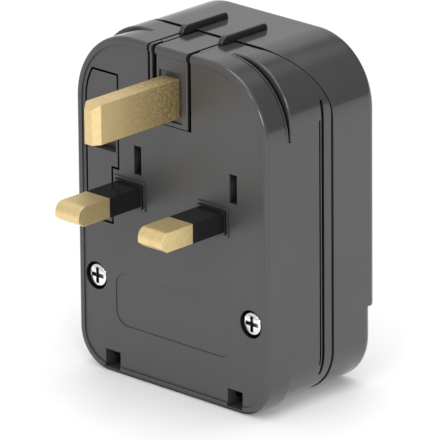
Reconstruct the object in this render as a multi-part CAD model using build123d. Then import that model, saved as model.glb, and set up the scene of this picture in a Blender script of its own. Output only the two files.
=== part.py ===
from build123d import *
import math
import os

# Conversion plug: British 13 A pins in front, a round two-pin earthed recess behind.
# Built in the plug frame: X to the right seen from the pins, Y into the plug, Z up.
# The pin face is y = 0 and the centre line of the live and neutral pins is z = 0.
# write() then moves every piece so that z = 0 is the surface the plug stands on.
# All sizes are in millimetres.

# Clearances
RUNNING_GAP = 0.06          # hinge pin to the moving arms, on the radius
SEAT_GAP = 0.02             # pieces pressed or seated in one another
LOOSE_GAP = 0.30            # pieces that move past one another
PARTING_GAP = 0.3          # front casing to rear cover
INSERT_GAP = 0.15           # socket insert inside the front casing
BEYOND = 20.0               # how far cutting shapes run past the body

# 13 A pins
LIVE_PIN_X = 11.115
PIN_WIDTH = 6.35
PIN_THICKNESS = 4.0
PIN_LENGTH = 17.7
PIN_NOSE_RADIUS = 2.0
PIN_NOSE_BEVEL = 1.1
PIN_NOSE_BEVEL_LENGTH = 1.5
PIN_TAIL = 5.0
SLEEVE_LENGTH = 9.1
SLEEVE_THICKNESS = 0.55
SLEEVE_FLANGE = 0.45
SLEEVE_FLANGE_HEIGHT = 0.5
EARTH_PIN_Z = 22.23
EARTH_PIN_WIDTH = 4.0
EARTH_PIN_HEIGHT = 8.0
EARTH_PIN_LENGTH = 22.73
EARTH_NOSE_BEVEL = 1.0
EARTH_NOSE_BEVEL_LENGTH = 1.5
EARTH_PIN_TAIL = 6.0

# Fuse, a 25.4 mm cartridge, and its carrier beside the live pin
FUSE_DIAMETER = 6.35
FUSE_LENGTH = 25.4
FUSE_CAP_LENGTH = 6.0
FUSE_CAP_WALL = 0.3
FUSE_SIDE_ROOM = 0.5        # from the fuse to each side of its shaft
FUSE_CENTRE_Z = 7.0
CARRIER_FRONT = 2.6         # thickness of the carrier's front plate
FUSE_BACKING = 0.7          # from that plate to the fuse
CARRIER_END_LAND = 1.9      # carrier below the fuse
CARRIER_TOP_Z = 23.75
CARRIER_WING = 1.75         # the carrier's upper half is this much wider
CARRIER_STEP_Z = 4.0
NOTCH_FLOOR_Z = 7.4
NOTCH_HEIGHT = 5.0
NOTCH_WIDTH = 7.0
NOTCH_DEPTH = 2.3
NOTCH_INSET = 0.9
CARRIER_CHEEK = 0.2
CHEEK_TAIL = 2.4            # cheeks beyond the back of the fuse
CARRIER_TRAVEL_ROOM = 0.3
CARRIER_FACE_ROOM = 0.45    # the wider gap seen round its front plate
LIVE_LAND = 1.56            # casing between the live pin and the fuse shaft

# Casing
WALL = 1.7
FRONT_WALL = 2.5
SIDE_LAND = 2.3            # casing outside the fuse shaft
FRONT_CORNER_RADIUS = 14.8
MIDDLE_CORNER_RADIUS = 12.2
NOSE_BOTTOM_RADIUS = 7.8
BOTTOM_CORNER_RADIUS = 10.2
BODY_BOTTOM = 38.6
TOP_LAND = 5.62             # casing above the earth pin
FRONT_EDGE_ROUND = 0.8
RIM_WIDTH = 1.5
RIM_HEIGHT = 0.25
COLLAR_START = 5.3          # the fine line round the top corners
COLLAR_LINE = 0.2
COLLAR_LINE_SINK = 0.6
COLLAR_LENGTH = 0.45
COLLAR_GROOVE = 0.6
COLLAR_SINK = 0.95          # depth of the crescent at its middle
COLLAR_CUT_RADIUS = 27.0    # the round that cuts the crescent
COLLAR_EDGE_ROUND = 0.4
PARTING_DEPTH = 18.0
PARTING_LOW_Z = 21.0
PARTING_MIDDLE_DEPTH = 15.8
PARTING_MIDDLE_Z = 26.95
PARTING_TOP_DEPTH = 11.8
PARTING_LIFT = 0.5          # rise of the cover's edge for each millimetre of gap
FIRST_GROOVE_DEPTH = 14.56
FIRST_GROOVE_WIDTH = 0.4
FIRST_GROOVE_TOP = 19.5
FIRST_GROOVE_BOTTOM = -30.7
SECOND_GROOVE_DEPTH = 15.22
SECOND_GROOVE_WIDTH = 0.7
SECOND_GROOVE_TOP = 23.4
SECOND_GROOVE_BOTTOM = -33.1
GROOVE_CUT = 0.6
VENT_WIDTH = 1.95
VENT_HEIGHT = 5.9
VENT_CENTRE_Z = 7.15
VENT_LEFT_X = -9.1
VENT_RIGHT_X = 16.42
PAD_WIDTH = 8.0
PAD_HEIGHT = 6.0
PAD_RISE = 0.3
LABEL_WIDTH = 31.0
LABEL_HEIGHT = 11.0
LABEL_CENTRE_Z = -22.6
LABEL_RADIUS = 3.0
LABEL_CUT = 0.15

# Earth pin carrier, the tongue at the top of the pin face
TONGUE_LEFT = 3.88
TONGUE_RIGHT = 4.39
TONGUE_EDGE_ROUND = 0.35
TONGUE_BOTTOM_Z = 16.3
TONGUE_SEAT = 0.15
TONGUE_FRONT_DEPTH = 6.5
TONGUE_TOP_HEIGHT = 5.9
TONGUE_FOOT = 2.5
TONGUE_FRAME_WIDTH = 6.0
TONGUE_FRAME_HEIGHT = 10.2
TONGUE_FRAME_CUT = 0.3
SLOT_LEFT = 6.04
SLOT_RIGHT = 5.45
SLOT_RIB = 0.62
SLOT_RIB_X = -5.16
SLOT_RIB_DEPTH = 2.8

# Cover hinge
HINGE_DEPTH = 8.3
HINGE_DROP = 3.5            # hinge axis below the top of the casing
HINGE_PIN_RADIUS = 1.0
ARM_THICKNESS = 1.15
ARM_LEFT_X = -5.1
ARM_RIGHT_X = 5.33
ARM_EYE_RADIUS = 2.6
ARM_SIDE_GAP = 0.15
ARM_REACH = 6.2             # arm's front end from the hinge axis
ARM_NOSE = 1.4
FIN_HEIGHT = 1.65
FIN_START = 8.25
FIN_END = 21.2
FIN_FRONT_RADIUS = 1.6
FIN_REAR_RADIUS = 0.9
FIN_EDGE_ROUND = 0.25
LUG_LENGTH = 2.5
LUG_END = 0.8
LUG_SIZE = 5.0
BRIDGE_START = 16.2
BRIDGE_LENGTH = 3.0
BRIDGE_THICKNESS = 0.8
RIVET_RADIUS = 0.8
RIVET_HEAD_RADIUS = 1.3
RIVET_HEAD = 0.4
RIVET_DEPTH = 1.1
RIVET_SPACING = 5.0

# Rear cover and the round recess
RECESS_CENTRE_Z = 5.0
RECESS_RADIUS = 19.6
RECESS_DEPTH = 8.7
RECESS_WALL = 1.8
RECESS_BEVEL = 0.6
TUNNEL_START = 20.0
PLATEAU_RISE = 1.3
PLATEAU_FOOT_Z = -22.1
PLATEAU_FOOT_LEAN = 1.1     # rise of its sloped foot for each millimetre back
REAR_WALL = 2.0
REAR_EDGE_ROUND = 2.0
REAR_CORNER_RADIUS = 13.6
COVER_PROUD = 0.3           # the cover stands this much outside the front casing

# Socket insert and contacts
CONTACT_X = 9.5
CONTACT_HOLE_RADIUS = 2.5
CONTACT_TUBE_RADIUS = 2.5
CONTACT_TUBE_WALL = 0.6
CONTACT_TUBE_LENGTH = 10.5
CONTACT_SLIT = 0.8
CONTACT_END = 0.6
PLUG_PIN_LENGTH = 19.0
PLUG_PIN_ROOM = 3.0
INSERT_FRONT = 12.5
INSERT_TOP_Z = 21.6
FACE_RADIUS = 18.6
FACE_THICKNESS = 1.8
FACE_START = 3.0            # from the insert's front to its round face
EARTH_CLIP_RADIUS = 17.3
EARTH_CLIP_WIDTH = 6.0
EARTH_CLIP_REACH = 3.0
STRIP = 0.6                 # thickness of the brass strips
STRIP_INSET = 0.6           # fuse strips stop this far from the fuse's ends
NEUTRAL_STRIP_WIDTH = 4.0
NEUTRAL_STRIP_FOOT = 1.0    # extra width where it meets the neutral pin
NEUTRAL_STRIP_END = 8.0     # short of the contact tube's mouth
LIVE_TAB = 2.0              # how far the lower fuse strip laps the live pin

# Fastenings
SCREW_X = 20.8
SCREW_Z = -19.4
SCREW_HEAD_RADIUS = 2.55
SCREW_HEAD = 1.9
SCREW_SUNK = 0.25
SCREW_HEAD_ROUND = 0.5
SCREW_RADIUS = 1.5
SCREW_LENGTH = 16.5
SCREW_SEAT_RADIUS = 2.85
CROSS_WIDTH = 0.8
CROSS_SPAN = 3.3
CROSS_DEPTH = 1.3
BOSS_RADIUS = 3.6
BUSH_RADIUS = 2.3
BUSH_LENGTH = 4.5
PLATE_THICKNESS = 2.0
PLATE_HEIGHT = 7.2
PLATE_END_LAND = 0.8
PLATE_TOP_Z = 2.4
PLATE_SCREW_X = 4.5
PLATE_SCREW_RADIUS = 0.9
PLATE_SCREW_HEAD_RADIUS = 1.7
PLATE_SCREW_HEAD = 0.8
PLATE_SCREW_BITE = 1.4

# Latch tongues of the cover and their windows in the pin face
WINDOW_X = 16.5
WINDOW_WIDTH = 4.0
WINDOW_BOTTOM = 0.86        # casing left under each window
WINDOW_HEIGHT = 3.65
LATCH_WIDTH = 3.3
LATCH_THICKNESS = 1.6
LATCH_LIFT = 0.7
LATCH_FRONT = 4.5
LATCH_ROOT = 3.0            # how far the tongues run into the cover
LANE_HEADROOM = 1.0

# Places that follow from the sizes above
shaft_width = FUSE_DIAMETER + 2 * FUSE_SIDE_ROOM
shaft_right = -(LIVE_PIN_X + PIN_WIDTH / 2 + LIVE_LAND)
shaft_left = shaft_right - shaft_width
half_width = SIDE_LAND - shaft_left
body_top = EARTH_PIN_Z + EARTH_PIN_HEIGHT / 2 + TOP_LAND
face_depth = PLUG_PIN_LENGTH + PLUG_PIN_ROOM
body_depth = face_depth + RECESS_DEPTH
rear_depth = body_depth - PLATEAU_RISE
hinge_z = body_top - HINGE_DROP
fuse_x = (shaft_left + shaft_right) / 2
fuse_y = CARRIER_FRONT + FUSE_BACKING + FUSE_DIAMETER / 2
carrier_low = FUSE_CENTRE_Z - FUSE_LENGTH / 2 - CARRIER_END_LAND
floor_z = -BODY_BOTTOM
tube_outer = CONTACT_TUBE_RADIUS + CONTACT_TUBE_WALL
tube_end = face_depth - FACE_THICKNESS
tube_start = tube_end - CONTACT_TUBE_LENGTH
plate_screw_z = PLATE_TOP_Z - PLATE_HEIGHT / 2


def block(x0, x1, y0, y1, z0, z1):
    """A plain block between two corners."""
    size = (x1 - x0, y1 - y0, z1 - z0)
    return Pos((x0 + x1) / 2, (y0 + y1) / 2, (z0 + z1) / 2) * Box(*size)


def rod_y(x, z, radius, y0, y1):
    """A cylinder along Y."""
    return Pos(x, (y0 + y1) / 2, z) * Rot(90, 0, 0) * Cylinder(radius, y1 - y0)


def rod_x(y, z, radius, x0, x1):
    """A cylinder along X."""
    return Pos((x0 + x1) / 2, y, z) * Rot(0, 90, 0) * Cylinder(radius, x1 - x0)


def front_slab(sketch, y0, y1):
    """Extrudes a sketch drawn in X and Z from depth y0 to depth y1."""
    plane = Plane(origin=(0, y0, 0), x_dir=(1, 0, 0), z_dir=(0, -1, 0))
    return extrude(plane * sketch, amount=y1 - y0, dir=(0, 1, 0))


def side_slab(sketch, x0, x1):
    """Extrudes a sketch drawn in Y and Z from x0 to x1."""
    plane = Plane(origin=(x0, 0, 0), x_dir=(0, 1, 0), z_dir=(1, 0, 0))
    return extrude(plane * sketch, amount=x1 - x0, dir=(1, 0, 0))


def outline(inset, top_radius, bottom_radius, floor_inset=None):
    """The body's outline in X and Z, drawn in by an inset that may differ at the floor."""
    width = 2 * (half_width - inset)
    top = body_top - inset
    low = floor_z + (inset if floor_inset is None else floor_inset)
    sketch = Pos(0, (top + low) / 2) * Rectangle(width, top - low)
    sketch = fillet(sketch.vertices().group_by(Axis.Y)[-1], top_radius)
    return fillet(sketch.vertices().group_by(Axis.Y)[0], bottom_radius)


def parting_space(shift):
    """Everything behind the parting surface, moved back by a shift."""
    far = body_depth + BEYOND
    high = body_top + BEYOND
    low = floor_z - BEYOND
    up = shift * PARTING_LIFT
    top = Vector(PARTING_TOP_DEPTH + shift, body_top + up)
    middle = Vector(PARTING_MIDDLE_DEPTH + shift, PARTING_MIDDLE_Z + up)
    bend = Vector(PARTING_DEPTH + shift, PARTING_LOW_Z + up)
    edge = Line((PARTING_TOP_DEPTH + shift, high), top)
    edge += ThreePointArc(top, middle, bend)
    edge += Line(bend, (PARTING_DEPTH + shift, low))
    edge += Polyline((PARTING_DEPTH + shift, low), (far, low), (far, high),
                     (PARTING_TOP_DEPTH + shift, high))
    return side_slab(make_face(edge), -half_width - BEYOND, half_width + BEYOND)


def carrier_front(gap):
    """The fuse carrier's front outline in X and Z, drawn in by a gap."""
    low = carrier_low + gap
    high = CARRIER_TOP_Z - gap
    left = shaft_left + gap
    points = [
        (left, low),
        (shaft_right - gap, low),
        (shaft_right - gap, CARRIER_STEP_Z + gap),
        (shaft_right + CARRIER_WING - gap, CARRIER_STEP_Z + gap),
        (shaft_right + CARRIER_WING - gap, high),
        (left, high),
    ]
    shape = make_face(Polyline(*points, close=True))
    inset = SIDE_LAND + gap
    return shape & outline(inset, FRONT_CORNER_RADIUS - inset, BOTTOM_CORNER_RADIUS - inset)


def fuse_shaft():
    """The room in the front casing for the carrier and its fuse."""
    shaft = front_slab(carrier_front(0), -RIM_HEIGHT - 1, CARRIER_FRONT + LOOSE_GAP)
    deep = block(shaft_left, shaft_right, -1, fuse_y + FUSE_DIAMETER, carrier_low, CARRIER_TOP_Z)
    room = outline(SIDE_LAND, FRONT_CORNER_RADIUS - SIDE_LAND, BOTTOM_CORNER_RADIUS - SIDE_LAND)
    return shaft + (deep & front_slab(room, -2, body_depth))


def crescent_core():
    """The body's outline with a shallow round bite out of each top corner."""
    whole = outline(0, FRONT_CORNER_RADIUS, BOTTOM_CORNER_RADIUS)
    centre_z = body_top - FRONT_CORNER_RADIUS
    reach = (FRONT_CORNER_RADIUS - COLLAR_SINK - COLLAR_CUT_RADIUS) * math.sin(math.pi / 4)
    kept = whole
    for side in (-1, 1):
        x = side * (half_width - FRONT_CORNER_RADIUS + reach)
        kept &= Pos(x, centre_z + reach) * Circle(COLLAR_CUT_RADIUS)
    low = Pos(0, centre_z - BEYOND / 2) * Rectangle(2 * half_width, BEYOND)
    base = Pos(0, floor_z / 2) * Rectangle(2 * half_width + 1, -floor_z)
    return kept + (whole & (low + base))


def casing_shell():
    """The front casing's outside: the nose, a crescent groove at each top corner, the middle."""
    line_start = COLLAR_START
    line_end = line_start + COLLAR_LINE
    nose_end = line_end + COLLAR_LENGTH
    middle_start = nose_end + COLLAR_GROOVE
    nose = front_slab(outline(0, FRONT_CORNER_RADIUS, NOSE_BOTTOM_RADIUS), -RIM_HEIGHT, nose_end)
    nose = fillet(nose.faces().sort_by(Axis.Y)[0].edges(), FRONT_EDGE_ROUND)
    line = outline(0, FRONT_CORNER_RADIUS + COLLAR_LINE_SINK, NOSE_BOTTOM_RADIUS)
    nose -= block(-half_width - 1, half_width + 1, line_start, line_end, 0, body_top + 1)
    nose += front_slab(line, line_start - SEAT_GAP, line_end + SEAT_GAP)
    back = outline(0, MIDDLE_CORNER_RADIUS, BOTTOM_CORNER_RADIUS)
    middle = front_slab(back, middle_start, PARTING_DEPTH + 1)
    middle = fillet(middle.faces().sort_by(Axis.Y)[0].edges(), COLLAR_EDGE_ROUND)
    core = front_slab(crescent_core(), nose_end - SEAT_GAP, middle_start + 2 * COLLAR_EDGE_ROUND)
    return nose + core + middle - parting_space(0)


def hinge_pin_ends(gap):
    """The X places of the hinge pin's two ends, each moved out by a gap."""
    left = -SLOT_LEFT - LUG_LENGTH
    right = ARM_RIGHT_X + ARM_THICKNESS / 2 + ARM_SIDE_GAP + LUG_LENGTH
    return (left - gap, right + gap)


def casing_bosses():
    """Screw pillars and hinge lugs inside the front casing."""
    inside = outline(0.5, FRONT_CORNER_RADIUS - 0.5, BOTTOM_CORNER_RADIUS - 0.5)
    room = front_slab(inside, FRONT_WALL - 1, INSERT_FRONT - INSERT_GAP)
    pillars = rod_y(-SCREW_X, SCREW_Z, BOSS_RADIUS, FRONT_WALL - 1, INSERT_FRONT)
    pillars += rod_y(SCREW_X, SCREW_Z, BOSS_RADIUS, FRONT_WALL - 1, INSERT_FRONT)
    left, right = hinge_pin_ends(LUG_END)
    y0 = HINGE_DEPTH - LUG_SIZE / 2
    z0 = hinge_z - LUG_SIZE / 2
    top = body_top - WALL / 2
    lugs = block(left, -SLOT_LEFT, y0, y0 + LUG_SIZE, z0, top)
    lugs += block(right - LUG_LENGTH - LUG_END, right, y0, y0 + LUG_SIZE, z0, top)
    return (pillars & room) + (lugs & room)


def front_casing():
    """The moulded front half, open behind, with its pin face."""
    body = casing_shell()
    inner = outline(WALL, FRONT_CORNER_RADIUS - WALL, BOTTOM_CORNER_RADIUS - WALL)
    body -= front_slab(inner, FRONT_WALL, body_depth)
    panel = outline(RIM_WIDTH, FRONT_CORNER_RADIUS - RIM_WIDTH, NOSE_BOTTOM_RADIUS - RIM_WIDTH)
    body -= front_slab(panel, -1, 0)
    body += casing_bosses()
    for x in (-LIVE_PIN_X, LIVE_PIN_X):
        body += block(x - PAD_WIDTH / 2, x + PAD_WIDTH / 2, -PAD_RISE, 0, -PAD_HEIGHT / 2, PAD_HEIGHT / 2)
        body -= block(x - PIN_WIDTH / 2, x + PIN_WIDTH / 2, -1, FRONT_WALL + 1,
                      -PIN_THICKNESS / 2, PIN_THICKNESS / 2)
    for x in (-SCREW_X, SCREW_X):
        body -= rod_y(x, SCREW_Z, SCREW_SEAT_RADIUS, -1, SCREW_HEAD + SCREW_SUNK)
        body -= rod_y(x, SCREW_Z, SCREW_RADIUS + 0.2, -1, INSERT_FRONT + 1)
    for x in (VENT_LEFT_X, VENT_RIGHT_X):
        body -= block(x - VENT_WIDTH / 2, x + VENT_WIDTH / 2, -1, FRONT_WALL + 1,
                      VENT_CENTRE_Z - VENT_HEIGHT / 2, VENT_CENTRE_Z + VENT_HEIGHT / 2)
    label = Pos(0, LABEL_CENTRE_Z) * RectangleRounded(LABEL_WIDTH, LABEL_HEIGHT, LABEL_RADIUS)
    body -= front_slab(label, -1, LABEL_CUT)
    body -= tongue_slot()
    body -= rod_x(HINGE_DEPTH, hinge_z, HINGE_PIN_RADIUS + SEAT_GAP, *hinge_pin_ends(SEAT_GAP))
    for x in (-PLATE_SCREW_X, PLATE_SCREW_X):
        body -= rod_y(x, plate_screw_z, PLATE_SCREW_RADIUS + SEAT_GAP,
                      FRONT_WALL - PLATE_SCREW_BITE - SEAT_GAP, FRONT_WALL + 1)
    body -= latch_lanes()
    body -= grip_grooves()
    body -= fuse_shaft()
    return body


def tongue_slot():
    """The opening for the earth pin carrier and the two hinge arms."""
    behind = PARTING_DEPTH
    opening = block(-SLOT_LEFT, SLOT_RIGHT, -1, behind, TONGUE_BOTTOM_Z - TONGUE_SEAT, body_top + 1)
    rib_left = SLOT_RIB_X - SLOT_RIB / 2
    rib_right = SLOT_RIB_X + SLOT_RIB / 2
    rib = block(rib_left, rib_right, -1, SLOT_RIB_DEPTH, TONGUE_BOTTOM_Z - 1, body_top + 1)
    opening -= rib - rod_x(HINGE_DEPTH, hinge_z, ARM_REACH + LOOSE_GAP, rib_left - 1, rib_right + 1)
    right = ARM_RIGHT_X + ARM_THICKNESS / 2 + ARM_SIDE_GAP
    sweep = ARM_REACH + LOOSE_GAP
    opening += block(SLOT_RIGHT - 1, right, SLOT_RIB_DEPTH, behind, hinge_z - sweep, body_top + 1)
    opening += rod_x(HINGE_DEPTH, hinge_z, sweep, SLOT_RIGHT - 1, right)
    return opening


def latch_lanes():
    """The windows in the pin face and the lanes behind them."""
    low = floor_z + WINDOW_BOTTOM
    high = low + WINDOW_HEIGHT
    lanes = Part()
    for side in (-1, 1):
        x0 = side * WINDOW_X - WINDOW_WIDTH / 2
        lanes += block(x0, x0 + WINDOW_WIDTH, -1, body_depth, low, high)
    return lanes


def grip_grooves():
    """Two grooves down each side, ahead of the parting line, that follow the corners."""
    core = outline(GROOVE_CUT, MIDDLE_CORNER_RADIUS - GROOVE_CUT, BOTTOM_CORNER_RADIUS - GROOVE_CUT)
    grooves = (
        (FIRST_GROOVE_DEPTH, FIRST_GROOVE_WIDTH, FIRST_GROOVE_BOTTOM, FIRST_GROOVE_TOP),
        (SECOND_GROOVE_DEPTH, SECOND_GROOVE_WIDTH, SECOND_GROOVE_BOTTOM, SECOND_GROOVE_TOP),
    )
    cuts = Part()
    for depth, width, low, high in grooves:
        band = block(-half_width - 1, half_width + 1, depth, depth + width, low, high)
        cuts += band - front_slab(core, depth - 1, depth + width + 1)
    return cuts


def earth_pin_carrier():
    """The block that holds the earth pin and the middle of the hinge pin."""
    front = block(-TONGUE_LEFT, TONGUE_RIGHT, -RIM_HEIGHT, TONGUE_FRONT_DEPTH, TONGUE_BOTTOM_Z, body_top)
    top = block(-TONGUE_LEFT, TONGUE_RIGHT, 0, PARTING_DEPTH, body_top - TONGUE_TOP_HEIGHT, body_top)
    foot = block(-TONGUE_LEFT, TONGUE_RIGHT, FRONT_WALL + SEAT_GAP, TONGUE_FRONT_DEPTH,
                 TONGUE_BOTTOM_Z - TONGUE_FOOT, TONGUE_BOTTOM_Z)
    body = front + top + foot
    face = body.faces().sort_by(Axis.Y)[0]
    body = fillet(face.edges().filter_by(Axis.X).sort_by(Axis.Z)[-1], FRONT_EDGE_ROUND)
    body -= block(-TONGUE_LEFT, TONGUE_RIGHT, -1, 0, 0, body_top - RIM_WIDTH)
    corners = body.edges().filter_by(Axis.Z).filter_by_position(Axis.Y, -0.01, 0.01)
    body = fillet(corners, TONGUE_EDGE_ROUND)
    body -= parting_space(-SEAT_GAP)
    frame = Pos(0, EARTH_PIN_Z) * Rectangle(TONGUE_FRAME_WIDTH, TONGUE_FRAME_HEIGHT)
    body -= front_slab(frame, -1, TONGUE_FRAME_CUT)
    hole = Pos(0, EARTH_PIN_Z) * Rectangle(EARTH_PIN_WIDTH + 2 * SEAT_GAP, EARTH_PIN_HEIGHT + 2 * SEAT_GAP)
    body -= front_slab(hole, -1, TONGUE_FRONT_DEPTH + 1)
    body -= rod_x(HINGE_DEPTH, hinge_z, HINGE_PIN_RADIUS + SEAT_GAP, -TONGUE_LEFT - 1, TONGUE_RIGHT + 1)
    return body


def line_pin(x):
    """A live or neutral pin: full size at the tip, slimmer under its sleeve."""
    half = PIN_THICKNESS / 2
    tip = -PIN_LENGTH
    nose = Polyline((tip, -half + PIN_NOSE_BEVEL), (tip + PIN_NOSE_BEVEL_LENGTH, -half),
                    (-SLEEVE_LENGTH, -half), (-SLEEVE_LENGTH, half), (tip, half), close=True)
    sketch = make_face(nose)
    corner = sketch.vertices().sort_by(Axis.X)[:2].sort_by(Axis.Y)[-1]
    sketch = fillet(corner, PIN_NOSE_RADIUS)
    body = side_slab(sketch, x - PIN_WIDTH / 2, x + PIN_WIDTH / 2)
    core_x = PIN_WIDTH / 2 - SLEEVE_THICKNESS
    core_z = half - SLEEVE_THICKNESS
    return body + block(x - core_x, x + core_x, -SLEEVE_LENGTH - 1, PIN_TAIL, -core_z, core_z)


def sleeve(x):
    """The insulating sleeve of a live or neutral pin, with its foot."""
    half = PIN_THICKNESS / 2
    side = PIN_WIDTH / 2
    edge = SLEEVE_FLANGE
    body = block(x - side, x + side, -SLEEVE_LENGTH, FRONT_WALL, -half, half)
    foot = -PAD_RISE - SLEEVE_FLANGE_HEIGHT
    body += block(x - side - edge, x + side + edge, foot, -PAD_RISE, -half - edge, half + edge)
    core_x = side - SLEEVE_THICKNESS
    core_z = half - SLEEVE_THICKNESS
    return body - block(x - core_x, x + core_x, -SLEEVE_LENGTH - 1, FRONT_WALL + 1, -core_z, core_z)


def earth_pin():
    """The long earth pin, bevelled at its tip on both sides and on top."""
    half_x = EARTH_PIN_WIDTH / 2
    half_z = EARTH_PIN_HEIGHT / 2
    tip = -EARTH_PIN_LENGTH
    bevel = EARTH_NOSE_BEVEL
    back = tip + EARTH_NOSE_BEVEL_LENGTH
    top_view = Polyline((-half_x, EARTH_PIN_TAIL), (-half_x, back), (-half_x + bevel, tip),
                        (half_x - bevel, tip), (half_x, back), (half_x, EARTH_PIN_TAIL), close=True)
    low = EARTH_PIN_Z - half_z
    body = Pos(0, 0, low) * extrude(make_face(top_view), amount=EARTH_PIN_HEIGHT, dir=(0, 0, 1))
    high = EARTH_PIN_Z + half_z
    side_view = Polyline((EARTH_PIN_TAIL, low), (tip, low), (tip, high - bevel), (back, high),
                         (EARTH_PIN_TAIL, high), close=True)
    return body & side_slab(make_face(side_view), -half_x - 1, half_x + 1)


def fuse_carrier():
    """The drawer beside the live pin: its flush front and two end cheeks."""
    gap = CARRIER_TRAVEL_ROOM
    body = front_slab(carrier_front(CARRIER_FACE_ROOM), 0, CARRIER_FRONT)
    notch_left = shaft_left + gap + NOTCH_INSET
    body -= block(notch_left, notch_left + NOTCH_WIDTH, -1, NOTCH_DEPTH, NOTCH_FLOOR_Z,
                  NOTCH_FLOOR_Z + NOTCH_HEIGHT)
    left = shaft_left + gap
    right = shaft_right - gap
    depth = fuse_y + FUSE_DIAMETER / 2 + CHEEK_TAIL
    inset = SIDE_LAND + gap
    room = outline(inset, FRONT_CORNER_RADIUS - inset, BOTTOM_CORNER_RADIUS - inset)
    reach = FUSE_LENGTH / 2 + CARRIER_CHEEK
    cheeks = block(left, right, CARRIER_FRONT - 0.5, depth, carrier_low + gap, FUSE_CENTRE_Z - reach)
    cheeks += block(left, right, CARRIER_FRONT - 0.5, depth, FUSE_CENTRE_Z + reach, CARRIER_TOP_Z - gap)
    body += cheeks & front_slab(room, 0, body_depth)
    half_saddle = FUSE_LENGTH / 2 - FUSE_CAP_LENGTH - 0.5
    saddle = block(left, right, CARRIER_FRONT - 0.5, fuse_y, FUSE_CENTRE_Z - half_saddle,
                   FUSE_CENTRE_Z + half_saddle)
    bed = Pos(fuse_x, fuse_y, FUSE_CENTRE_Z) * Cylinder(FUSE_DIAMETER / 2 + SEAT_GAP, FUSE_LENGTH)
    return body + (saddle - bed)


def fuse_body():
    """The ceramic tube of the fuse, with its bore of sand left solid."""
    radius = FUSE_DIAMETER / 2 - FUSE_CAP_WALL - SEAT_GAP
    length = FUSE_LENGTH - 2 * FUSE_CAP_WALL - 2 * SEAT_GAP
    return Pos(fuse_x, fuse_y, FUSE_CENTRE_Z) * Cylinder(radius, length)


def fuse_caps():
    """The two end caps of the fuse."""
    caps = []
    for side in (-1, 1):
        middle = FUSE_CENTRE_Z + side * (FUSE_LENGTH - FUSE_CAP_LENGTH) / 2
        cap = Pos(fuse_x, fuse_y, middle) * Cylinder(FUSE_DIAMETER / 2, FUSE_CAP_LENGTH)
        inner = middle - side * FUSE_CAP_WALL
        caps.append(cap - Pos(fuse_x, fuse_y, inner) * Cylinder(FUSE_DIAMETER / 2 - FUSE_CAP_WALL,
                                                                FUSE_CAP_LENGTH))
    return Compound(children=caps)


def pin_plate():
    """The plate that holds the live and neutral pins behind the pin face."""
    reach = LIVE_PIN_X + PIN_WIDTH / 2 + PLATE_END_LAND
    y0 = FRONT_WALL + SEAT_GAP
    body = block(-reach, reach, y0, y0 + PLATE_THICKNESS, PLATE_TOP_Z - PLATE_HEIGHT, PLATE_TOP_Z)
    core_x = PIN_WIDTH / 2 - SLEEVE_THICKNESS + SEAT_GAP
    core_z = PIN_THICKNESS / 2 - SLEEVE_THICKNESS + SEAT_GAP
    for x in (-LIVE_PIN_X, LIVE_PIN_X):
        body -= block(x - core_x, x + core_x, 0, y0 + PLATE_THICKNESS + 1, -core_z, core_z)
    for x in (-PLATE_SCREW_X, PLATE_SCREW_X):
        body -= rod_y(x, plate_screw_z, PLATE_SCREW_RADIUS + SEAT_GAP, 0, y0 + PLATE_THICKNESS + 1)
    return body


def plate_screws():
    """Two small screws through the pin plate into the pin face."""
    seat = FRONT_WALL + SEAT_GAP + PLATE_THICKNESS
    screws = []
    for x in (-PLATE_SCREW_X, PLATE_SCREW_X):
        shank = rod_y(x, plate_screw_z, PLATE_SCREW_RADIUS, FRONT_WALL - PLATE_SCREW_BITE, seat + 0.1)
        head = rod_y(x, plate_screw_z, PLATE_SCREW_HEAD_RADIUS, seat, seat + PLATE_SCREW_HEAD)
        screws.append(shank + head)
    return Compound(children=screws)


def socket_insert():
    """The inner block with the flat face that the round plug meets."""
    inset = WALL + INSERT_GAP
    shape = outline(inset, FRONT_CORNER_RADIUS - inset, BOTTOM_CORNER_RADIUS - inset)
    body = front_slab(shape, INSERT_FRONT, PARTING_DEPTH)
    body &= block(-half_width, half_width, 0, body_depth, floor_z, INSERT_TOP_Z)
    body += rod_y(0, RECESS_CENTRE_Z, FACE_RADIUS, INSERT_FRONT + FACE_START, face_depth)
    for x in (-CONTACT_X, CONTACT_X):
        body -= rod_y(x, RECESS_CENTRE_Z, CONTACT_HOLE_RADIUS, 0, face_depth + 1)
        body -= rod_y(x, RECESS_CENTRE_Z, tube_outer + SEAT_GAP, 0, tube_end)
    for x in (-SCREW_X, SCREW_X):
        body -= rod_y(x, SCREW_Z, BUSH_RADIUS + SEAT_GAP, INSERT_FRONT - 1, INSERT_FRONT + BUSH_LENGTH)
    for side in (-1, 1):
        z = RECESS_CENTRE_Z + side * EARTH_CLIP_RADIUS
        body -= block(-EARTH_CLIP_WIDTH / 2 - SEAT_GAP, EARTH_CLIP_WIDTH / 2 + SEAT_GAP, 0, face_depth + 1,
                      z - STRIP / 2 - SEAT_GAP, z + STRIP / 2 + SEAT_GAP)
        x0 = side * WINDOW_X - WINDOW_WIDTH / 2 - LOOSE_GAP
        body -= block(x0, x0 + WINDOW_WIDTH + 2 * LOOSE_GAP, 0, body_depth, floor_z,
                      floor_z + WINDOW_BOTTOM + LATCH_LIFT + LATCH_THICKNESS + LANE_HEADROOM)
    return body


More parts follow.
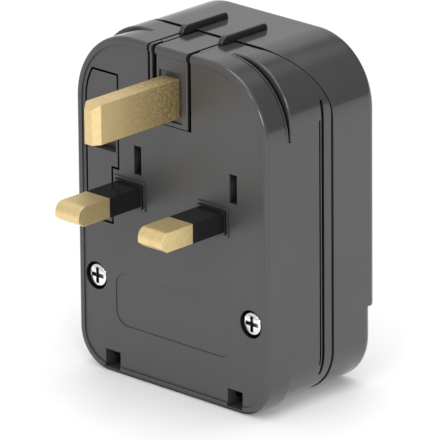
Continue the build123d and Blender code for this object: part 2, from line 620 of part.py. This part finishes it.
def contact_tube(x):
    """A slit spring tube that takes one round plug pin."""
    body = rod_y(x, RECESS_CENTRE_Z, tube_outer, tube_start, tube_end)
    body -= rod_y(x, RECESS_CENTRE_Z, CONTACT_TUBE_RADIUS, tube_start + CONTACT_END, tube_end + 1)
    side = 1 if x > 0 else -1
    x0, x1 = sorted((x, x + side * (tube_outer + 1)))
    z0 = RECESS_CENTRE_Z - CONTACT_SLIT / 2
    return body - block(x0, x1, tube_start + CONTACT_END, tube_end - 1, z0, z0 + CONTACT_SLIT)


def screw_bushes():
    """Brass bushes in the insert that the casing screws run into."""
    bushes = []
    for x in (-SCREW_X, SCREW_X):
        bush = rod_y(x, SCREW_Z, BUSH_RADIUS, INSERT_FRONT, INSERT_FRONT + BUSH_LENGTH)
        bushes.append(bush - rod_y(x, SCREW_Z, SCREW_RADIUS + SEAT_GAP, 0, body_depth))
    return Compound(children=bushes)


def casing_screws():
    """The two cross-head screws seen on the pin face."""
    screws = []
    for x in (-SCREW_X, SCREW_X):
        head = rod_y(x, SCREW_Z, SCREW_HEAD_RADIUS, SCREW_SUNK, SCREW_SUNK + SCREW_HEAD)
        head = fillet(head.faces().sort_by(Axis.Y)[0].edges(), SCREW_HEAD_ROUND)
        shank = rod_y(x, SCREW_Z, SCREW_RADIUS, SCREW_HEAD, SCREW_LENGTH)
        cross = block(x - CROSS_SPAN / 2, x + CROSS_SPAN / 2, 0, CROSS_DEPTH + SCREW_SUNK,
                      SCREW_Z - CROSS_WIDTH / 2, SCREW_Z + CROSS_WIDTH / 2)
        cross += block(x - CROSS_WIDTH / 2, x + CROSS_WIDTH / 2, 0, CROSS_DEPTH + SCREW_SUNK,
                       SCREW_Z - CROSS_SPAN / 2, SCREW_Z + CROSS_SPAN / 2)
        screws.append(head + shank - cross)
    return Compound(children=screws)


def upper_fuse_strip():
    """Brass strip from the fuse's upper cap to the live contact tube."""
    y0 = fuse_y + FUSE_DIAMETER / 2 + LOOSE_GAP
    top = FUSE_CENTRE_Z + FUSE_LENGTH / 2
    left = fuse_x - FUSE_DIAMETER / 4
    right = -CONTACT_X + 1.5
    tube_top = RECESS_CENTRE_Z + tube_outer
    strip = block(left, right, y0, y0 + STRIP, top - 4.5, top - 0.8)
    return strip + block(right - 3.0, right, y0, y0 + STRIP, tube_top, top - 0.8)


def lower_fuse_strip():
    """Brass strip from the live pin's tail to the fuse's lower cap."""
    y0 = fuse_y + FUSE_DIAMETER / 2 + LOOSE_GAP
    low = FUSE_CENTRE_Z - FUSE_LENGTH / 2
    pin_back = PIN_TAIL
    core_z = PIN_THICKNESS / 2 - SLEEVE_THICKNESS
    x_pin = -LIVE_PIN_X
    wall_x = shaft_right + LIVE_LAND / 2
    strip = block(wall_x - STRIP / 2, x_pin + LIVE_TAB, pin_back, pin_back + STRIP, low + STRIP_INSET, core_z)
    foot = low + STRIP_INSET
    strip += block(wall_x - STRIP / 2, wall_x + STRIP / 2, pin_back, y0 + STRIP, foot, core_z)
    return strip + block(fuse_x - FUSE_DIAMETER / 4, wall_x + STRIP / 2, y0, y0 + STRIP, foot, core_z)


def neutral_strip():
    """Brass strip from the neutral pin's tail to the neutral contact tube."""
    under_tube = RECESS_CENTRE_Z - tube_outer
    core_z = PIN_THICKNESS / 2 - SLEEVE_THICKNESS
    x0 = CONTACT_X - NEUTRAL_STRIP_WIDTH / 2
    x1 = CONTACT_X + NEUTRAL_STRIP_WIDTH / 2
    strip = block(x0, x1 + NEUTRAL_STRIP_FOOT, PIN_TAIL, PIN_TAIL + STRIP, -core_z, under_tube)
    end = tube_end - NEUTRAL_STRIP_END
    return strip + block(x0, x1, PIN_TAIL, end, under_tube - STRIP, under_tube)


def earth_strap():
    """Brass strap from the earth pin's tail down the front of the insert."""
    half = EARTH_PIN_WIDTH / 2
    back = INSERT_FRONT
    bend_z = TONGUE_BOTTOM_Z - 3.0
    clip_low = RECESS_CENTRE_Z - EARTH_CLIP_RADIUS
    clip_high = RECESS_CENTRE_Z + EARTH_CLIP_RADIUS
    y0 = TONGUE_FRONT_DEPTH
    strap = block(-half, half, y0, y0 + STRIP, bend_z, EARTH_PIN_Z + EARTH_PIN_HEIGHT / 4)
    strap += block(-half, half, EARTH_PIN_TAIL, y0 + STRIP, EARTH_PIN_Z - 1.5, EARTH_PIN_Z + 1.5)
    strap += block(-half, half, y0, back, bend_z, bend_z + STRIP)
    return strap + block(-half, half, back - STRIP, back, clip_low - STRIP / 2, clip_high + STRIP / 2)


def earth_clip(side):
    """A spring strip at the top or the bottom of the round recess."""
    z = RECESS_CENTRE_Z + side * EARTH_CLIP_RADIUS
    half = EARTH_CLIP_WIDTH / 2
    tip = face_depth + EARTH_CLIP_REACH
    clip = block(-half, half, INSERT_FRONT, tip, z - STRIP / 2, z + STRIP / 2)
    nub = rod_x(tip - 1.4, z - side * STRIP / 2, 0.7, -half, half)
    return clip + nub


def hinge_pin():
    """The steel pin of the cover hinge."""
    return rod_x(HINGE_DEPTH, hinge_z, HINGE_PIN_RADIUS, *hinge_pin_ends(0))


def arm_outline():
    """One hinge arm seen from the side, with the fin that stands up on top."""
    flush = body_top - 0.1
    crest = body_top + FIN_HEIGHT
    front = FIN_FRONT_RADIUS
    rear = FIN_REAR_RADIUS
    foot = body_top - WALL
    nose_z = flush - ARM_NOSE
    top_y = HINGE_DEPTH - math.sqrt(ARM_REACH ** 2 - (flush - hinge_z) ** 2)
    nose_y = HINGE_DEPTH - math.sqrt(ARM_REACH ** 2 - (nose_z - hinge_z) ** 2)
    edge = Line((top_y, flush), (FIN_START, flush))
    edge += Line((FIN_START, flush), (FIN_START, crest - front))
    edge += RadiusArc((FIN_START, crest - front), (FIN_START + front, crest), front)
    edge += Line((FIN_START + front, crest), (FIN_END - rear, crest))
    edge += RadiusArc((FIN_END - rear, crest), (FIN_END, crest - rear), rear)
    bridge_end = BRIDGE_START + BRIDGE_LENGTH
    edge += Polyline((FIN_END, crest - rear), (FIN_END, foot), (bridge_end, foot - BRIDGE_THICKNESS),
                     (HINGE_DEPTH, hinge_z - ARM_EYE_RADIUS), (nose_y, nose_z), (top_y, flush))
    eye = Pos(HINGE_DEPTH, hinge_z) * Circle(ARM_EYE_RADIUS)
    return make_face(edge) + eye - Pos(HINGE_DEPTH, hinge_z) * Circle(HINGE_PIN_RADIUS + RUNNING_GAP)


def hinge_bracket():
    """Two hinge arms joined by a bridge under the cover's top wall."""
    profile = arm_outline()
    half = ARM_THICKNESS / 2
    body = Part()
    for x in (ARM_LEFT_X, ARM_RIGHT_X):
        arm = side_slab(profile, x - half, x + half)
        rims = [edge for edge in arm.edges() if edge.center().Z > body_top + FIN_EDGE_ROUND]
        rims = [edge for edge in rims if edge.bounding_box().size.X < half]
        body += fillet(rims, FIN_EDGE_ROUND)
    top = body_top - WALL
    body += block(ARM_LEFT_X, ARM_RIGHT_X, BRIDGE_START, BRIDGE_START + BRIDGE_LENGTH,
                  top - BRIDGE_THICKNESS, top)
    for x in rivet_places():
        body -= Pos(x, BRIDGE_START + BRIDGE_LENGTH / 2, top) * Cylinder(RIVET_RADIUS + SEAT_GAP, 4)
    return body


def rivet_places():
    """The X places of the two rivets through the hinge bracket."""
    middle = (ARM_LEFT_X + ARM_RIGHT_X) / 2
    return (middle - RIVET_SPACING / 2, middle + RIVET_SPACING / 2)


def bracket_rivets():
    """Two rivets that hold the hinge bracket under the cover's top wall."""
    top = body_top - WALL
    under = top - BRIDGE_THICKNESS
    y = BRIDGE_START + BRIDGE_LENGTH / 2
    rivets = []
    for x in rivet_places():
        length = BRIDGE_THICKNESS + RIVET_DEPTH
        shank = Pos(x, y, under + length / 2) * Cylinder(RIVET_RADIUS, length)
        rivets.append(shank + Pos(x, y, under - RIVET_HEAD / 2) * Cylinder(RIVET_HEAD_RADIUS, RIVET_HEAD))
    return Compound(children=rivets)


def above_foot():
    """The space in Y and Z above the sloped foot of the raised surround."""
    far = body_depth + BEYOND
    rise = (far - rear_depth) * PLATEAU_FOOT_LEAN
    points = [
        (0, PLATEAU_FOOT_Z),
        (rear_depth, PLATEAU_FOOT_Z),
        (far, PLATEAU_FOOT_Z + rise),
        (far, body_top + BEYOND),
        (0, body_top + BEYOND),
    ]
    return make_face(Polyline(*points, close=True))


def cover_shell():
    """The cover's outside: its lower rear face and the raised surround above it."""
    outer = outline(-COVER_PROUD, REAR_CORNER_RADIUS + COVER_PROUD, BOTTOM_CORNER_RADIUS, 0)
    low = front_slab(outer, PARTING_TOP_DEPTH - 1, rear_depth)
    low = fillet(low.faces().sort_by(Axis.Y)[-1].edges(), REAR_EDGE_ROUND)
    high = front_slab(outer, rear_depth - 2 * REAR_EDGE_ROUND, body_depth)
    wide = half_width + BEYOND
    high = fillet(high.faces().sort_by(Axis.Y)[-1].edges(), REAR_EDGE_ROUND)
    high &= side_slab(above_foot(), -wide, wide)
    return low + high


def rear_cover():
    """The hinged rear half, with the round recess and its raised surround."""
    body = cover_shell()
    inner = outline(WALL, FRONT_CORNER_RADIUS - WALL, BOTTOM_CORNER_RADIUS - WALL)
    body -= front_slab(inner, 0, rear_depth - REAR_WALL)
    tunnel = rod_y(0, RECESS_CENTRE_Z, RECESS_RADIUS + RECESS_WALL, TUNNEL_START, rear_depth - REAR_WALL + 0.5)
    body += tunnel
    body -= rod_y(0, RECESS_CENTRE_Z, RECESS_RADIUS, 0, body_depth + 1)
    mouth = body.edges().filter_by(GeomType.CIRCLE).filter_by_position(
        Axis.Y, body_depth - 0.01, body_depth + 0.01)
    mouth = [edge for edge in mouth if abs(edge.radius - RECESS_RADIUS) < 0.01]
    body = chamfer(mouth, RECESS_BEVEL)
    body -= parting_space_front()
    for x in (ARM_LEFT_X, ARM_RIGHT_X):
        half = ARM_THICKNESS / 2 + SEAT_GAP
        body -= block(x - half, x + half, 0, FIN_END + SEAT_GAP, body_top - WALL - 1, body_top + 1)
    y = BRIDGE_START + BRIDGE_LENGTH / 2
    hole_depth = RIVET_DEPTH + SEAT_GAP
    for x in rivet_places():
        body -= Pos(x, y, body_top - WALL + hole_depth / 2) * Cylinder(RIVET_RADIUS + SEAT_GAP, hole_depth)
    return body + latch_tongues()


def parting_space_front():
    """Everything in front of the cover's parting surface."""
    wide = half_width + BEYOND
    everything = block(-wide, wide, -BEYOND, body_depth + BEYOND, floor_z - BEYOND, body_top + BEYOND)
    return everything - parting_space(PARTING_GAP)


def latch_tongues():
    """Two tongues along the floor that reach the windows in the pin face."""
    low = floor_z + WINDOW_BOTTOM + LATCH_LIFT
    tongues = Part()
    for side in (-1, 1):
        x0 = side * WINDOW_X - LATCH_WIDTH / 2
        root = PARTING_DEPTH + LATCH_ROOT
        tongues += block(x0, x0 + LATCH_WIDTH, LATCH_FRONT, root, low, low + LATCH_THICKNESS)
        tongues += block(x0, x0 + LATCH_WIDTH, PARTING_DEPTH + PARTING_GAP, root,
                         floor_z + WALL / 2, low + LATCH_THICKNESS)
    return tongues


def write(name, shape):
    """Moves a piece to the part's frame and saves it."""
    back = (EARTH_PIN_LENGTH - body_depth) / 2
    export_step(Pos(0, back, BODY_BOTTOM) * shape, os.path.join("parts", name + ".step"))


pieces = {
    "front_casing": front_casing(),
    "earth_pin_carrier": earth_pin_carrier(),
    "live_pin": line_pin(-LIVE_PIN_X),
    "neutral_pin": line_pin(LIVE_PIN_X),
    "earth_pin": earth_pin(),
    "live_sleeve": sleeve(-LIVE_PIN_X),
    "neutral_sleeve": sleeve(LIVE_PIN_X),
    "pin_plate": pin_plate(),
    "plate_screws": plate_screws(),
    "socket_insert": socket_insert(),
    "live_contact": contact_tube(-CONTACT_X),
    "neutral_contact": contact_tube(CONTACT_X),
    "upper_fuse_strip": upper_fuse_strip(),
    "lower_fuse_strip": lower_fuse_strip(),
    "neutral_strip": neutral_strip(),
    "earth_strap": earth_strap(),
    "upper_earth_clip": earth_clip(1),
    "lower_earth_clip": earth_clip(-1),
    "casing_screws": casing_screws(),
    "screw_bushes": screw_bushes(),
    "hinge_pin": hinge_pin(),
    "fuse_carrier": fuse_carrier(),
    "fuse_body": fuse_body(),
    "fuse_caps": fuse_caps(),
    "rear_cover": rear_cover(),
    "hinge_bracket": hinge_bracket(),
    "bracket_rivets": bracket_rivets(),
}

os.makedirs("parts", exist_ok=True)
for piece_name, piece_shape in pieces.items():
    write(piece_name, piece_shape)
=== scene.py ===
import math

import bpy
from mathutils import Euler, Matrix, Vector

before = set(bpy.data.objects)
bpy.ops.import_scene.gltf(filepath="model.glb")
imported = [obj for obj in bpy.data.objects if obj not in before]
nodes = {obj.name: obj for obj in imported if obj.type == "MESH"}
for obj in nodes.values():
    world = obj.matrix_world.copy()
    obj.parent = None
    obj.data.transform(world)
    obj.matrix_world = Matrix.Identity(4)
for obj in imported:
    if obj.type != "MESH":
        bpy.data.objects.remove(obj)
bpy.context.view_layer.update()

MM = 0.001

# Noises: features per metre, detail and roughness
SINK_NOISE = (38.0, 3.0, 0.5)
GRAIN_NOISE = (2600.0, 2.0, 0.6)
METAL_GRAIN_NOISE = (2400.0, 4.0, 0.65)
BLOTCH_NOISE = (900.0, 6.0, 0.7)
TARNISH_NOISE = (1900.0, 6.0, 0.75)

# Bump layers: depth and strength
SINK_BUMP = (0.04 * MM, 0.15)
GRAIN_BUMP = (0.008 * MM, 0.3)
METAL_GRAIN_BUMP = (0.01 * MM, 0.3)
BLOTCH_BUMP = (0.03 * MM, 0.15)
CROWN_BUMP = (1.0, 1.0)

# Moulded plastic: shades against its own colour, painted shade in its gaps, and how far its roughness
# varies
PLASTIC_IOR = 1.54
PLASTIC_SPECULAR = 0.5
SINK_SHADES = (0.93, 1.07)
PAINTED_GAP_SHADE = 0.06
GLOSS_VARIES = (-0.02, 0.03)
SATIN_VARIES = (-0.03, 0.04)
PLASTIC_EDGE_ROUND = 0.12 * MM
PLASTIC_WEAR_REACH = 0.18 * MM
PLASTIC_WEAR = 0.35
PLASTIC_PAINTED_SHADE_REACH = 2.6 * MM

# Metal: bright edges, and grain drawn out across the part or up it
METAL_VARIES = (-0.04, 0.06)
METAL_EDGE_ROUND = 0.15 * MM
METAL_WEAR_REACH = 0.2 * MM
METAL_WEAR = 0.6
BRIGHT_SHADE = 1.12
DRAWN_ACROSS = (0.3, 1.0, 1.0)
DRAWN_UP = (1.0, 1.0, 0.4)
TURNED_UP = (1.0, 1.0, 0.3)

# The earth pin's tarnish, measured from its tip, the crowned screw heads and the painted shade in
# their cross recesses
TARNISH = (0.34, 0.24, 0.10)
TARNISH_START = 6.7 * MM
TARNISH_FULL = 20.7 * MM
TARNISH_SHARES = (0.10, 1.0)
TARNISH_SPOTS = (0.43, 0.58)
HEAD_CROWN_RADIUS = 5.5 * MM
CROSS_PAINTED_SHADE_REACH = 1.6 * MM
CROSS_PAINTED_SHADE = (0.20, 0.20, 0.20)

# The ranges that the masks read: the front face's normal, an edge's normal and the open air, whose
# lack sets the painted shade in gaps
FRONT_NORMALS = (-0.97, -0.80)
EDGE_NORMALS = (0.80, 0.995)
PAINTED_SHADE_AIR = (0.30, 0.72)
MASK_SAMPLES = 6

# Floor and room. The dark wall's ends are headings in radians, from straight behind towards the right
FLOOR_SIZE = 8.0
FLOOR_SHADE = 0.86
FLOOR_ROUGHNESS = 0.55
FLOOR_CAMERA_LIFT = 0.14
FLOOR_MIRROR_LIFT = 0.30
ROOM_STRENGTH = 0.80
WALL_SHADE = (0.10, 0.10, 0.10)
WALL_LEFT_END = (-0.52, -0.28)
WALL_RIGHT_END = (1.0, 1.4)
WALL_TOP = (0.69, 0.74)

# The photo's camera, solved from the corners of the pins
CAMERA_PLACE = (0.89015, -0.92559, 0.48766)
CAMERA_AZIMUTH = 43.589
CAMERA_ELEVATION = 19.435
CAMERA_ROLL = -0.502
CAMERA_LENS = 572.73
CAMERA_SENSOR = 36.0
CAMERA_REACH = 20.0


# Shader helpers

def tree(name):
    """A new material with its node tree and its shader."""
    material = bpy.data.materials.new(name)
    material.use_nodes = True
    web = material.node_tree
    return material, web, web.nodes["Principled BSDF"]


def object_place(web):
    """Where a point lies on its own object, in metres."""
    return web.nodes.new("ShaderNodeTexCoord").outputs["Object"]


def separated(web, vector):
    """The X, Y and Z outputs of a vector."""
    parts = web.nodes.new("ShaderNodeSeparateXYZ")
    web.links.new(vector, parts.inputs["Vector"])
    return parts.outputs


def computed(web, operation, *values):
    """A Math node's result, from sockets and plain numbers."""
    node = web.nodes.new("ShaderNodeMath")
    node.operation = operation
    for socket, value in zip(node.inputs, values):
        if isinstance(value, float):
            socket.default_value = value
        else:
            web.links.new(value, socket)
    return node.outputs["Value"]


def noise(web, place, kind, stretch=None):
    """Noise of a kind, a tuple as above, in object space, drawn out along an axis if asked."""
    if stretch:
        mapping = web.nodes.new("ShaderNodeMapping")
        mapping.inputs["Scale"].default_value = stretch
        web.links.new(place, mapping.inputs["Vector"])
        place = mapping.outputs["Vector"]
    scale, detail, roughness = kind
    node = web.nodes.new("ShaderNodeTexNoise")
    node.inputs["Scale"].default_value = scale
    node.inputs["Detail"].default_value = detail
    node.inputs["Roughness"].default_value = roughness
    web.links.new(place, node.inputs["Vector"])
    return node.outputs["Fac"]


def span(web, value, low, high, start=0.3, end=0.7):
    """Spreads a value's range, by default the middle of a noise's, between two numbers."""
    node = web.nodes.new("ShaderNodeMapRange")
    node.inputs["From Min"].default_value = start
    node.inputs["From Max"].default_value = end
    node.inputs["To Min"].default_value = low
    node.inputs["To Max"].default_value = high
    web.links.new(value, node.inputs["Value"])
    return node.outputs["Result"]


def mix(web, factor, first, second):
    """Mixes two colours, each a socket or a plain colour, by a factor."""
    node = web.nodes.new("ShaderNodeMix")
    node.data_type = "RGBA"
    web.links.new(factor, node.inputs["Factor"])
    for socket, colour in ((node.inputs["A"], first), (node.inputs["B"], second)):
        if isinstance(colour, tuple):
            socket.default_value = (*colour, 1.0)
        else:
            web.links.new(colour, socket)
    return node.outputs["Result"]


def blend(web, factor, first, second):
    """Moves between two values by a factor."""
    node = web.nodes.new("ShaderNodeMix")
    web.links.new(factor, node.inputs["Factor"])
    web.links.new(first, node.inputs["A"])
    web.links.new(second, node.inputs["B"])
    return node.outputs["Result"]


def shaded(colour, factor):
    """A colour times a factor, no brighter than white."""
    return tuple(min(1.0, factor * part) for part in colour)


def facing_front(web):
    """1 where a surface looks out along the pins, 0 elsewhere."""
    true = web.nodes.new("ShaderNodeNewGeometry")
    forward = separated(web, true.outputs["True Normal"])["Y"]
    return span(web, forward, 1.0, 0.0, *FRONT_NORMALS)


def rounded_normal(web, radius):
    """The normal as it would be with small rounds on the edges."""
    bevel = web.nodes.new("ShaderNodeBevel")
    bevel.samples = MASK_SAMPLES
    bevel.inputs["Radius"].default_value = radius
    return bevel.outputs["Normal"]


def edge_mask(web, radius, strength):
    """Up to a given strength on an edge, 0 elsewhere, from a rounded normal against the true one."""
    true = web.nodes.new("ShaderNodeNewGeometry")
    dot = web.nodes.new("ShaderNodeVectorMath")
    dot.operation = "DOT_PRODUCT"
    web.links.new(rounded_normal(web, radius), dot.inputs[0])
    web.links.new(true.outputs["Normal"], dot.inputs[1])
    return span(web, dot.outputs["Value"], strength, 0.0, *EDGE_NORMALS)


def painted_shade_openness(web, reach):
    """The mask for painted shade: 0 deep in a gap, where the shade is painted, 1 in the open."""
    node = web.nodes.new("ShaderNodeAmbientOcclusion")
    node.samples = MASK_SAMPLES
    node.inputs["Distance"].default_value = reach
    return span(web, node.outputs["AO"], 0.0, 1.0, *PAINTED_SHADE_AIR)


def varied(web, value, middle, varies):
    """A roughness that a noise moves about its middle."""
    below, above = varies
    return span(web, value, middle + below, middle + above)


def bumps(web, shader, radius, layers):
    """Stacks bump layers, each a height with its depth and strength, on rounded edges."""
    last = rounded_normal(web, radius)
    for height, (depth, strength) in layers:
        node = web.nodes.new("ShaderNodeBump")
        node.inputs["Distance"].default_value = depth
        node.inputs["Strength"].default_value = strength
        web.links.new(height, node.inputs["Height"])
        web.links.new(last, node.inputs["Normal"])
        last = node.outputs["Normal"]
    web.links.new(last, shader.inputs["Normal"])


# Materials

def plastic(name, colour, rough, worn=1.35, face=None):
    """Moulded plastic: slight sink, fine grain, rubbed edges, painted shade and dimmed reflections in
    gaps, a satin front if asked.
    """
    material, web, shader = tree(name)
    place = object_place(web)
    sink = noise(web, place, SINK_NOISE)
    grain = noise(web, place, GRAIN_NOISE)
    painted_shade_free = painted_shade_openness(web, PLASTIC_PAINTED_SHADE_REACH)
    sunk, raised = (shaded(colour, shade) for shade in SINK_SHADES)
    body = mix(web, span(web, sink, 0.0, 1.0), sunk, raised)
    body = mix(web, edge_mask(web, PLASTIC_WEAR_REACH, PLASTIC_WEAR), body, shaded(colour, worn))
    # Painted shade: the colour darkens deep in gaps and recesses, where shade falls.
    body = mix(web, painted_shade_free, shaded(colour, PAINTED_GAP_SHADE), body)
    gloss = varied(web, sink, rough, GLOSS_VARIES)
    if face is not None:
        gloss = blend(web, facing_front(web), gloss, varied(web, grain, face, SATIN_VARIES))
    # Painted shade: the reflections dim deep in gaps as well.
    specular = computed(web, "MULTIPLY", painted_shade_free, PLASTIC_SPECULAR)
    shader.inputs["IOR"].default_value = PLASTIC_IOR
    web.links.new(specular, shader.inputs["Specular IOR Level"])
    web.links.new(body, shader.inputs["Base Color"])
    web.links.new(gloss, shader.inputs["Roughness"])
    bumps(web, shader, PLASTIC_EDGE_ROUND, [(sink, SINK_BUMP), (grain, GRAIN_BUMP)])
    return material


def tarnished(web, place, body, pin):
    """Speckles a pin's colour with tarnish that grows towards its root."""
    tip = min(corner[1] for corner in pin.bound_box)
    along = separated(web, place)["Y"]
    root = span(web, along, 0.0, 1.0, tip + TARNISH_START, tip + TARNISH_FULL)
    spots = span(web, noise(web, place, TARNISH_NOISE), *TARNISH_SHARES, *TARNISH_SPOTS)
    return mix(web, computed(web, "MULTIPLY", root, spots), body, TARNISH)


def head_middle(screws):
    """The x and z of the right one of two mirrored round heads, the widest part of each screw."""
    right = max(corner[0] for corner in screws.bound_box)
    low = min(corner[2] for corner in screws.bound_box)
    high = max(corner[2] for corner in screws.bound_box)
    radius = (high - low) / 2.0
    return right - radius, low + radius


def crown(web, place, screws):
    """The crowned height of two mirrored round heads, falling from their middles, in metres."""
    middle_x, middle_z = head_middle(screws)
    parts = separated(web, place)
    across = computed(web, "SUBTRACT", computed(web, "ABSOLUTE", parts["X"]), middle_x)
    up = computed(web, "SUBTRACT", parts["Z"], middle_z)
    across_squared = computed(web, "MULTIPLY", across, across)
    up_squared = computed(web, "MULTIPLY", up, up)
    total = computed(web, "ADD", across_squared, up_squared)
    return computed(web, "MULTIPLY", total, -1.0 / (2.0 * HEAD_CROWN_RADIUS))


def metal(name, colour, shade, rough, grain=None, metallic=1.0, pin=None, screws=None):
    """Drawn or tumbled metal: grain, blotches, bright edges, a pin's tarnish or crowned heads with
    painted shade in their crosses.
    """
    material, web, shader = tree(name)
    place = object_place(web)
    fine = noise(web, place, METAL_GRAIN_NOISE, grain)
    blotch = noise(web, place, BLOTCH_NOISE)
    layers = [(fine, METAL_GRAIN_BUMP), (blotch, BLOTCH_BUMP)]
    body = mix(web, span(web, blotch, 0.0, 1.0), shade, colour)
    if pin is not None:
        body = tarnished(web, place, body, pin)
    edges = edge_mask(web, METAL_WEAR_REACH, METAL_WEAR)
    body = mix(web, edges, body, shaded(colour, BRIGHT_SHADE))
    if screws is not None:
        # Painted shade: the screw heads' cross recesses darken where shade falls.
        body = mix(web, painted_shade_openness(web, CROSS_PAINTED_SHADE_REACH), CROSS_PAINTED_SHADE, body)
        layers.append((crown(web, place, screws), CROWN_BUMP))
    shader.inputs["Metallic"].default_value = metallic
    web.links.new(body, shader.inputs["Base Color"])
    web.links.new(varied(web, fine, rough, METAL_VARIES), shader.inputs["Roughness"])
    bumps(web, shader, METAL_EDGE_ROUND, layers)
    return material


casing = plastic("casing_moulding", (0.049, 0.049, 0.050), 0.12, face=0.42)
cover = plastic("cover_moulding", (0.056, 0.056, 0.057), 0.12)
drawer = plastic("drawer_moulding", (0.048, 0.048, 0.049), 0.14, face=0.42)
hinge = plastic("hinge_moulding", (0.026, 0.026, 0.027), 0.11)
inner = plastic("inner_moulding", (0.042, 0.042, 0.043), 0.34)
# The pin plate's near-black is partly its own dark plastic and partly painted shade: it darkens what
# shows through the vents.
plate = plastic("plate_painted_shade_moulding", (0.010, 0.010, 0.010), 0.45)
sleeve = plastic("sleeve_moulding", (0.007, 0.007, 0.007), 0.22)
brass = metal("pin_brass", (0.79, 0.63, 0.33), (0.69, 0.52, 0.25), 0.42, metallic=0.8)
earth = metal("earth_brass", (0.75, 0.58, 0.30), (0.67, 0.51, 0.25), 0.46, metallic=0.8,
              pin=nodes["earth_pin"])
strip = metal("strip_brass", (0.83, 0.66, 0.33), (0.70, 0.53, 0.26), 0.28, DRAWN_UP)
screw = metal("screw_nickel", (0.90, 0.90, 0.90), (0.60, 0.60, 0.61), 0.12,
              screws=nodes["casing_screws"])
steel = metal("drawn_steel", (0.60, 0.60, 0.60), (0.45, 0.45, 0.46), 0.32, DRAWN_ACROSS)
cap = metal("fuse_cap_nickel", (0.80, 0.79, 0.77), (0.66, 0.65, 0.63), 0.24, TURNED_UP)
ceramic = plastic("fuse_ceramic", (0.80, 0.78, 0.72), 0.20, worn=1.1)

FINISHES = {
    casing: ["front_casing", "earth_pin_carrier"],
    cover: ["rear_cover"],
    drawer: ["fuse_carrier"],
    hinge: ["hinge_bracket"],
    inner: ["socket_insert"],
    plate: ["pin_plate"],
    sleeve: ["live_sleeve", "neutral_sleeve"],
    brass: ["live_pin", "neutral_pin"],
    earth: ["earth_pin"],
    strip: ["live_contact", "neutral_contact", "upper_fuse_strip", "lower_fuse_strip",
            "neutral_strip", "earth_strap", "upper_earth_clip", "lower_earth_clip", "screw_bushes"],
    screw: ["casing_screws", "plate_screws"],
    steel: ["hinge_pin", "bracket_rivets"],
    cap: ["fuse_caps"],
    ceramic: ["fuse_body"],
}
for material, names in FINISHES.items():
    for name in names:
        for slot in nodes[name].material_slots:
            slot.material = material


# Stage: a white floor, a pale room with a dark wall, three soft lamps and the photo's camera

def floor():
    """A pale floor that looks white to the camera and in reflections, and keeps the shadow."""
    bpy.ops.mesh.primitive_plane_add(size=FLOOR_SIZE, location=(0, 0, 0))
    sheet = bpy.context.object
    sheet.name = "floor"
    material, web, shader = tree("floor_white")
    shader.inputs["Base Color"].default_value = (FLOOR_SHADE, FLOOR_SHADE, FLOOR_SHADE, 1.0)
    shader.inputs["Roughness"].default_value = FLOOR_ROUGHNESS
    shader.inputs["Emission Color"].default_value = (1.0, 1.0, 1.0, 1.0)
    path = web.nodes.new("ShaderNodeLightPath").outputs
    camera_lift = computed(web, "MULTIPLY", path["Is Camera Ray"], FLOOR_CAMERA_LIFT)
    mirror_lift = computed(web, "MULTIPLY", path["Is Glossy Ray"], FLOOR_MIRROR_LIFT)
    web.links.new(computed(web, "ADD", camera_lift, mirror_lift), shader.inputs["Emission Strength"])
    sheet.data.materials.append(material)


def room():
    """A white room with a dark wall behind the plug, which its right shoulder mirrors."""
    world = bpy.data.worlds.new("studio")
    bpy.context.scene.world = world
    world.use_nodes = True
    web = world.node_tree
    sky = web.nodes["Background"]
    parts = separated(web, web.nodes.new("ShaderNodeTexCoord").outputs["Generated"])
    heading = computed(web, "ARCTAN2", parts["X"], parts["Y"])
    after_left = span(web, heading, 0.0, 1.0, *WALL_LEFT_END)
    before_right = span(web, heading, 1.0, 0.0, *WALL_RIGHT_END)
    below_top = span(web, parts["Z"], 1.0, 0.0, *WALL_TOP)
    between = computed(web, "MULTIPLY", after_left, before_right)
    wall = computed(web, "MULTIPLY", between, below_top)
    web.links.new(mix(web, wall, (1.0, 1.0, 1.0), WALL_SHADE), sky.inputs["Color"])
    sky.inputs["Strength"].default_value = ROOM_STRENGTH


def lamp(name, place, aim, side, watts):
    """A square soft lamp aimed at a point."""
    data = bpy.data.lights.new(name, "AREA")
    data.shape = "SQUARE"
    data.size = side
    data.energy = watts
    light = bpy.data.objects.new(name, data)
    bpy.context.collection.objects.link(light)
    light.location = place
    heading = Vector(aim) - Vector(place)
    light.rotation_euler = heading.to_track_quat("-Z", "Y").to_euler()


def camera():
    """The camera at the photo's place and angle."""
    data = bpy.data.cameras.new("camera")
    data.sensor_width = CAMERA_SENSOR
    data.lens = CAMERA_LENS
    data.clip_end = CAMERA_REACH
    eye = bpy.data.objects.new("camera", data)
    bpy.context.collection.objects.link(eye)
    tilt = math.radians(90 - CAMERA_ELEVATION)
    heading = math.radians(CAMERA_AZIMUTH)
    turn = Euler((tilt, 0.0, heading)).to_matrix()
    turn = turn @ Matrix.Rotation(math.radians(CAMERA_ROLL), 3, "Z")
    eye.matrix_world = Matrix.Translation(CAMERA_PLACE) @ turn.to_4x4()
    bpy.context.scene.camera = eye


floor()
room()
lamp("overhead", place=(0.05, 0.05, 0.75), aim=(0.0, 0.0, 0.04), side=0.5, watts=2.2)
lamp("front_right", place=(0.80, -0.62, 0.42), aim=(0.0, 0.0, 0.03), side=0.32, watts=3.3)
lamp("front_top", place=(0.29, -0.63, 0.61), aim=(0.0, 0.0, 0.03), side=0.2, watts=0.8)
camera()
bpy.context.scene.view_settings.view_transform = "Standard"
